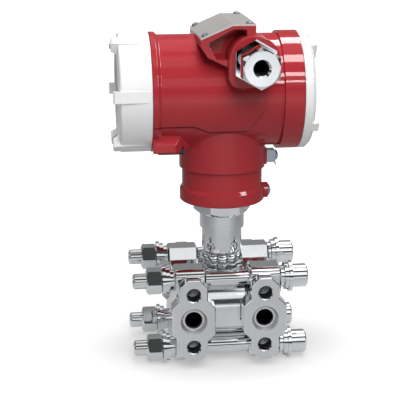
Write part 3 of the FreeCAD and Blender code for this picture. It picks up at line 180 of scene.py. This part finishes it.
class Surface(Nodes):
    """A material with short ways to feed its Principled shader."""

    def __init__(self, name, **sockets):
        self.material = bpy.data.materials.new(name)
        self.material.use_nodes = True
        super().__init__(self.material.node_tree)
        self.shader = self.tree.nodes["Principled BSDF"]
        for socket, value in sockets.items():
            self.shader.inputs[socket.replace("_", " ")].default_value = value
        self.place = self.node("TexCoord").outputs["Object"]

    def parts_of_place(self):
        where = self.node("SeparateXYZ")
        self.link(self.place, where.inputs["Vector"])
        return where.outputs["X"], where.outputs["Y"], where.outputs["Z"]

    def stretched(self, scale):
        mapping = self.node("Mapping")
        mapping.inputs["Scale"].default_value = scale
        self.link(self.place, mapping.inputs["Vector"])
        return mapping.outputs["Vector"]

    def noise(self, scale, detail=2.0, stretch=None):
        made = self.node("TexNoise")
        made.inputs["Scale"].default_value = scale
        made.inputs["Detail"].default_value = detail
        self.link(self.stretched(stretch) if stretch else self.place, made.inputs["Vector"])
        return made.outputs["Fac"]

    def bump(self, height, strength, distance, below=None):
        made = self.node("Bump")
        made.inputs["Strength"].default_value = strength
        made.inputs["Distance"].default_value = distance
        self.link(height, made.inputs["Height"])
        if below is not None:
            self.link(below, made.inputs["Normal"])
        return made.outputs["Normal"]

    def soft_edges(self, radius):
        """Rounded edges for the light, without a change of the mesh."""
        made = self.node("Bevel", samples=6)
        made.inputs["Radius"].default_value = radius
        return made.outputs["Normal"]

    def to(self, socket, value):
        self.link(value, self.shader.inputs[socket])
        return self


def shades(color, low, high):
    return tuple(c * low for c in color), tuple(min(1.0, c * high) for c in color)


def crease(s):
    """One along the housing's contour line, zero elsewhere, faded towards its upper end. The paint is
    dented there and darkened by painted shade.
    """
    x, _, z = s.parts_of_place()
    below = s.math("SUBTRACT", HEAD_AXIS, z)
    across = s.between(x, 0, 1, -CONTOUR_SPAN, CONTOUR_SPAN)
    stops = [tuple(0.5 + along * MM / CONTOUR_SPAN / 2 for along in point) for point in CONTOUR]
    line = s.between(s.ramp(across, stops), -CONTOUR_SPAN, CONTOUR_SPAN, 0, 1)
    off = s.math("ABSOLUTE", s.math("SUBTRACT", below, line))
    near = s.between(off, 1, 0, CONTOUR_CORE, CONTOUR_EDGE)
    return s.math("MULTIPLY", near, s.between(below, 0, 1, 0, CONTOUR_FADE))


def paint(name, color, shaded_crease=False):
    """Glossy coat over a casting: a faint orange peel and very slightly uneven colour. When asked for, a
    groove along the housing's contour line, which painted shade darkens.
    """
    s = Surface(name, Coat_Weight=0.5, Coat_Roughness=0.035, Roughness=0.45)
    s.shader.inputs["Specular IOR Level"].default_value = 0.0
    dark, light = shades(color, 0.97, 1.02)
    tone = s.mix(s.between(s.noise(25, 3), 0, 1), dark, light)
    wavy = s.bump(s.noise(45, 2), 0.1, 0.15 * MM, s.soft_edges(0.7 * MM))
    if shaded_crease:
        shaded_groove = crease(s)
        # Painted shade: along the contour line the colour drops to 30 % of itself
        tone = s.mix(shaded_groove, tone, shades(color, 0.3, 1)[0])
        wavy = s.bump(s.math("SUBTRACT", 1, shaded_groove), 0.5, 0.5 * MM, wavy)
    normal = s.bump(s.noise(900, 2), 0.05, 0.04 * MM, wavy)
    s.to("Base Color", tone).to("Normal", normal).to("Coat Normal", normal)
    return s.material


def metal(name, color, roughness, grain=(1, 1, 1), grain_scale=500, strength=0.03, blotch=0.02, bare=1.0):
    """Bare metal with the fine marks that its grain direction gives."""
    s = Surface(name, Metallic=bare)
    dark, light = shades(color, 0.94, 1.03)
    s.to("Base Color", s.mix(s.between(s.noise(45, 3), 0, 1), dark, light))
    marks = s.noise(grain_scale, 3, grain)
    s.to("Roughness", s.between(marks, roughness - blotch, roughness + blotch))
    s.to("Normal", s.bump(marks, strength, 0.02 * MM))
    return s.material


def rubber(name):
    s = Surface(name, Roughness=0.7)
    s.to("Base Color", s.mix(s.between(s.noise(300, 3), 0, 1), (0.012, 0.012, 0.013), (0.03, 0.03, 0.032)))
    s.to("Normal", s.bump(s.noise(1500, 2), 0.2, 0.05 * MM))
    return s.material


def plastic(name, color, roughness=0.5):
    s = Surface(name)
    dark, light = shades(color, 0.85, 1.1)
    s.to("Base Color", s.mix(s.between(s.noise(120, 3), 0, 1), dark, light))
    s.to("Roughness", s.between(s.noise(400, 2), roughness - 0.06, roughness + 0.08))
    s.to("Normal", s.bump(s.noise(1400, 2), 0.15, 0.05 * MM))
    return s.material


def glass(name):
    s = Surface(name, Base_Color=(0.97, 0.99, 0.985, 1), Transmission_Weight=1.0, IOR=1.5)
    s.to("Roughness", s.between(s.noise(60, 3), 0.0, 0.03))
    return s.material


def flange_steel(name):
    """Bright polished steel; port faces and recesses are milled and matt, tapped holes and bores are matt
    too and darkened by painted shade.
    """
    s = Surface(name, Metallic=1.0)
    x, y, z = s.parts_of_place()
    depth = s.math("ABSOLUTE", y)
    across = s.math("SUBTRACT", s.math("ABSOLUTE", x), PORT_PLACE.x)
    above = s.math("SUBTRACT", z, PORT_PLACE.z)
    from_tap = s.math("SUBTRACT", s.math("ABSOLUTE", above), TAP_PITCH / 2)

    def within(rise, radius):
        """One inside a round hole along Y, zero outside."""
        squares = s.math("ADD", s.math("POWER", across, 2), s.math("POWER", rise, 2))
        return s.math("LESS_THAN", squares, radius ** 2)

    def deeper(start):
        return s.math("LESS_THAN", depth, PORT_PLACE.y - start)

    def nearer(end):
        return s.math("GREATER_THAN", depth, PORT_PLACE.y - end)

    shaded_bore = s.math("MULTIPLY", within(above, PORT_BORE), deeper(BORE_START))
    shaded_tap = s.math("MULTIPLY", within(from_tap, TAP_BORE), deeper(TAP_START))
    recess = s.math("MULTIPLY", within(above, RECESS), nearer(RECESS_DEPTH))
    steel = s.mix(s.between(s.noise(30, 3), 0, 1), (0.72, 0.735, 0.755), (0.78, 0.795, 0.815))
    # Painted shade: the tapped holes are darkened to a dark grey
    steel = s.mix(shaded_tap, steel, (0.30, 0.31, 0.32))
    # Painted shade: the bores are darkened nearly to black
    s.to("Base Color", s.mix(shaded_bore, steel, (0.09, 0.092, 0.097)))
    matt = s.math("MAXIMUM", s.math("MAXIMUM", nearer(FACE_DEPTH), recess), s.math("MAXIMUM", shaded_bore, shaded_tap))
    rough = s.node("Mix", data_type="FLOAT")
    s.link(matt, rough.inputs["Factor"])
    s.link(s.between(s.noise(220, 3), 0.05, 0.09), rough.inputs["A"])
    s.link(s.between(s.noise(260, 3, (1, 1, 0.15)), 0.34, 0.42), rough.inputs["B"])
    s.to("Roughness", rough.outputs["Result"])
    soft = s.bump(s.noise(70, 2), 0.06, 0.1 * MM, s.soft_edges(0.5 * MM))
    s.to("Normal", s.bump(s.noise(900, 2), 0.04, 0.02 * MM, soft))
    return s.material


FINISHES = {
    "red_paint": lambda n: paint(n, (0.415, 0.031, 0.040), shaded_crease=True),
    "white_paint": lambda n: paint(n, (0.92, 0.925, 0.93)),
    "flange_steel": flange_steel,
    "stainless": lambda n: metal(n, (0.745, 0.765, 0.785), 0.08, (0.05, 0.05, 1), 1400, 0.03),
    "bolt_steel": lambda n: metal(n, (0.75, 0.77, 0.785), 0.035, (1, 0.1, 0.1), 1200, 0.0, 0.01),
    "diaphragm": lambda n: metal(n, (0.68, 0.68, 0.69), 0.25),
    "gasket": lambda n: plastic(n, (0.82, 0.82, 0.8)),
    "plate_steel": lambda n: metal(n, (0.68, 0.665, 0.64), 0.34, (0.02, 1, 0.02), 1600, 0.12, 0.05, 0.55),
    "screw_steel": lambda n: metal(n, (0.30, 0.34, 0.40), 0.10),
    "gland_metal": lambda n: metal(n, (0.75, 0.77, 0.79), 0.06, (1, 1, 1), 300, 0.02),
    "black_screw": lambda n: metal(n, (0.06, 0.06, 0.065), 0.35),
    "rubber": rubber,
    "glass": glass,
    "plastic": lambda n: plastic(n, (0.03, 0.03, 0.032)),
    "screen": lambda n: plastic(n, (0.30, 0.36, 0.30), 0.25),
    "brass": lambda n: metal(n, (0.72, 0.56, 0.28), 0.22),
}


def dress_nodes():
    slot_of = {part["node"]: part["material_slot"] for part in frame["record"]["subparts"]}
    made = {slot: finish("finish_" + slot) for slot, finish in FINISHES.items()}
    for name, node in nodes.items():
        node.data.materials.clear()
        node.data.materials.append(made[slot_of[name]])


def steeper_valleys(name):
    """A copy of a process flange with wider valley floors, so that the valleys' walls stand steeper."""
    mesh = nodes[name].data.copy()
    normals = [corner.vector.copy() for corner in mesh.corner_normals]
    moved = set()
    for vertex in mesh.vertices:
        aside, rise = abs(vertex.co.y), abs(vertex.co.z - PORT_PLACE.z)
        if max(abs(aside - VALLEY_EDGE[0]), abs(rise - VALLEY_EDGE[1])) < VALLEY_CHAMFER:
            vertex.co.y += math.copysign(VALLEY_WIDER, vertex.co.y)
            moved.add(vertex.index)
    mesh.update()
    for face in mesh.polygons:
        if moved.intersection(face.vertices):
            for corner in face.loop_indices:
                normals[corner] = face.normal.copy()
    mesh.normals_split_custom_set(normals)
    piece = bpy.data.objects.new(name + "_steep", mesh)
    bpy.context.scene.collection.objects.link(piece)
    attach(piece, "root")
    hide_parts(name)
    return piece


# The floor, in metres: its own grey, a darker one that gloss sees farther aside and the span in which
# that sets in, and the glow that the camera and gloss see by distance from the middle, with X counting less
FLOOR_SIZE = 30
FLOOR_COLOR = (0.4, 0.4, 0.4)
ASIDE_COLOR = (0.16, 0.165, 0.175)
ASIDE_SPAN = (0.16, 0.42)
GLOW_STRETCH = (0.6, 1, 1)
# The camera's glow is weakest near the middle: painted shade round the object, on top of its real shadow
SHOWN_GLOW = ((0, 0.34), (0.04, 0.40), (0.075, 0.66), (0.12, 0.84), (0.2, 1.0))
MIRRORED_GLOW = ((0, 0.35), (0.1, 0.25), (0.22, 0.1), (0.45, 0.15), (1.0, 0.7))


def pale_ground(name):
    """A matt floor that the camera sees white, and that keeps the object's shadow near it; its glow is
    weaker near the middle, which adds painted shade round the object.
    """
    s = Surface(name, Roughness=0.9)
    s.shader.inputs["Specular IOR Level"].default_value = 0.1
    distance = s.node("VectorMath", operation="LENGTH")
    s.link(s.stretched(GLOW_STRETCH), distance.inputs[0])
    shown = s.ramp(distance.outputs["Value"], SHOWN_GLOW)
    mirrored = s.ramp(distance.outputs["Value"], MIRRORED_GLOW)
    path = s.node("LightPath")
    gloss = s.math("MAXIMUM", path.outputs["Is Glossy Ray"], path.outputs["Is Transmission Ray"])
    aside = s.between(s.math("ABSOLUTE", s.parts_of_place()[0]), 0, 1, *ASIDE_SPAN)
    s.to("Base Color", s.mix(s.math("MULTIPLY", gloss, aside), FLOOR_COLOR, ASIDE_COLOR))
    seen = s.math("MULTIPLY", path.outputs["Is Camera Ray"], shown)
    glow = s.node("Emission")
    s.link(s.math("ADD", seen, s.math("MULTIPLY", gloss, mirrored)), glow.inputs["Strength"])
    both = s.node("AddShader")
    s.link(s.shader.outputs["BSDF"], both.inputs[0])
    s.link(glow.outputs["Emission"], both.inputs[1])
    s.link(both.outputs["Shader"], s.tree.nodes["Material Output"].inputs["Surface"])
    return s.material


def floor():
    bpy.ops.mesh.primitive_plane_add(size=FLOOR_SIZE, location=(0, 0, FLOOR))
    ground = bpy.context.object
    ground.name = "floor"
    ground.data.materials.append(pale_ground("floor_white"))


# What gloss sees of the studio: white cloth with dark gaps between its panels, as (degrees above the
# floor, level) in front and behind
FRONT_GAPS = ((0, 0.55), (2.5, 0.55), (3.5, 0.07), (15.5, 0.07), (18.5, 1), (34, 1), (36, 0.07), (57, 0.07),
              (60, 1), (79, 1), (83, 0.1), (90, 0.1))
BACK_GAPS = ((0, 0.5), (3, 0.28), (40, 0.28), (50, 1), (79, 1), (83, 0.1), (90, 0.1))

# Where the front passes into the back, by the Y of a direction, and where the sides get dim, by its X
TURN_SPAN = (-0.2, 0.2)
SIDE_SPAN = (0.75, 0.9)
SIDE_LEVEL = 0.3

# The even fill that matt surfaces get from the studio
SKY_FILL = 0.15


def world():
    """White for the camera; gloss sees the panels and gaps, and matt surfaces get a weak even fill."""
    sky = bpy.data.worlds.new("studio")
    bpy.context.scene.world = sky
    sky.use_nodes = True
    s = Nodes(sky.node_tree)
    way = s.node("SeparateXYZ")
    s.link(s.node("TexCoord").outputs["Generated"], way.inputs["Vector"])
    height = s.between(s.math("ARCSINE", way.outputs["Z"]), 0, 1, 0, math.pi / 2)
    behind = s.between(way.outputs["Y"], 0, 1, *TURN_SPAN)
    front, back = (s.ramp(height, [(degrees / 90, level) for degrees, level in gaps])
                   for gaps in (FRONT_GAPS, BACK_GAPS))
    dimmed = s.between(s.math("ABSOLUTE", way.outputs["X"]), 1, SIDE_LEVEL, *SIDE_SPAN)
    panels = s.multiply(s.mix(behind, front, back), dimmed)
    path = s.node("LightPath")
    clear = s.math("MAXIMUM", path.outputs["Is Camera Ray"], path.outputs["Is Transmission Ray"])
    level = s.between(clear, SKY_FILL, 1, 0, 1)
    background = s.tree.nodes["Background"]
    s.link(s.mix(path.outputs["Is Glossy Ray"], level, panels), background.inputs["Color"])
    background.inputs["Strength"].default_value = 1.0


# Lamps hang this far from what they light
LAMP_REACH = 2.0

# Soft lamps for the matt surfaces: name, degrees over the object from the front, degrees to the
# right, size in metres, and the level at which a white surface that faces the lamp shines
LAMPS = (("back_lamp", 112, 0, 1.3, 0.46), ("top_lamp", 64, 0, 1.3, 0.62), ("high_lamp", 32, 5, 0.6, 0.36))
LAMPS_MIDDLE = Vector((0, 0, 0.13))

# Bright strips that only gloss sees, by their edges in degrees over the object and to the right,
# and how many times white they are in the gloss of paint and of bare metal
STRIPS = ((107, 127), (62.5, 78.5), (34.3, 42), (22.6, 26.3))
STRIPS_SIDE = (8.5, 50)
STRIPS_MIDDLE = Vector((0, 0, 0.2))
PAINT_LEVEL = 24
METAL_LEVEL = 1.5


def hang(data, over, side, middle):
    """Hang a lamp at LAMP_REACH from a middle, facing it: degrees over the object, then to the right."""
    tilt, turn = math.radians(over), math.radians(side)
    away = Vector((math.sin(turn), -math.cos(tilt) * math.cos(turn), math.sin(tilt) * math.cos(turn)))
    along = Vector((math.cos(turn), math.cos(tilt) * math.sin(turn), -math.sin(tilt) * math.sin(turn)))
    made = bpy.data.objects.new(data.name, data)
    axes = Matrix((along, away.cross(along), away)).transposed().to_4x4()
    made.matrix_world = Matrix.Translation(middle + away * LAMP_REACH) @ axes
    bpy.context.scene.collection.objects.link(made)
    return made


def lamp(name, over, side, size, level):
    data = bpy.data.lights.new(name, "AREA")
    data.size = size
    data.energy = level * (math.pi * LAMP_REACH) ** 2
    hang(data, over, side, LAMPS_MIDDLE).visible_glossy = False


def strip(name, over, side, level, receivers):
    """A bright strip that only the gloss of its receivers sees; level 1 is white."""
    data = bpy.data.lights.new(name, "AREA")
    data.shape = "RECTANGLE"
    data.size = 2 * LAMP_REACH * math.tan(math.radians(side[1] - side[0]) / 2)
    data.size_y = 2 * LAMP_REACH * math.tan(math.radians(over[1] - over[0]) / 2)
    data.energy = level * math.pi * data.size * data.size_y
    made = hang(data, sum(over) / 2, sum(side) / 2, STRIPS_MIDDLE)
    made.visible_diffuse = False
    made.light_linking.receiver_collection = receivers


def lights(shown):
    for settings in LAMPS:
        lamp(*settings)
    painted = bpy.data.collections.new("painted")
    bare = bpy.data.collections.new("bare")
    for piece in shown:
        coated = "paint" in piece.data.materials[0].name
        (painted if coated else bare).objects.link(piece)
    for number, over in enumerate(STRIPS, 1):
        strip(f"paint_box_{number}", over, STRIPS_SIDE, PAINT_LEVEL, painted)
        strip(f"metal_box_{number}", over, STRIPS_SIDE, METAL_LEVEL, bare)


# Camera, fitted to the photograph through the known spacing of the ports
CAMERA_PLACE = Vector((-109.9, -825.7, 351.8)) * MM
CAMERA_AIM = Vector((-9.14, 0, 111.6)) * MM
FOCAL_PIXELS = 1119.86
IMAGE_PIXELS = 420
SENSOR_WIDTH = 36


def camera():
    data = bpy.data.cameras.new("camera")
    data.sensor_width = SENSOR_WIDTH
    data.lens = FOCAL_PIXELS / IMAGE_PIXELS * SENSOR_WIDTH
    made = bpy.data.objects.new("camera", data)
    made.location = CAMERA_PLACE
    made.rotation_euler = (CAMERA_AIM - CAMERA_PLACE).to_track_quat("-Z", "Y").to_euler()
    bpy.context.scene.collection.objects.link(made)
    bpy.context.scene.camera = made


camera()
dress_nodes()
flanges = [steeper_valleys("process_flange_left"), steeper_valleys("process_flange_right")]
floor()
world()
lights([*nodes.values(), *flanges])
bpy.context.scene.view_settings.view_transform = "Standard"
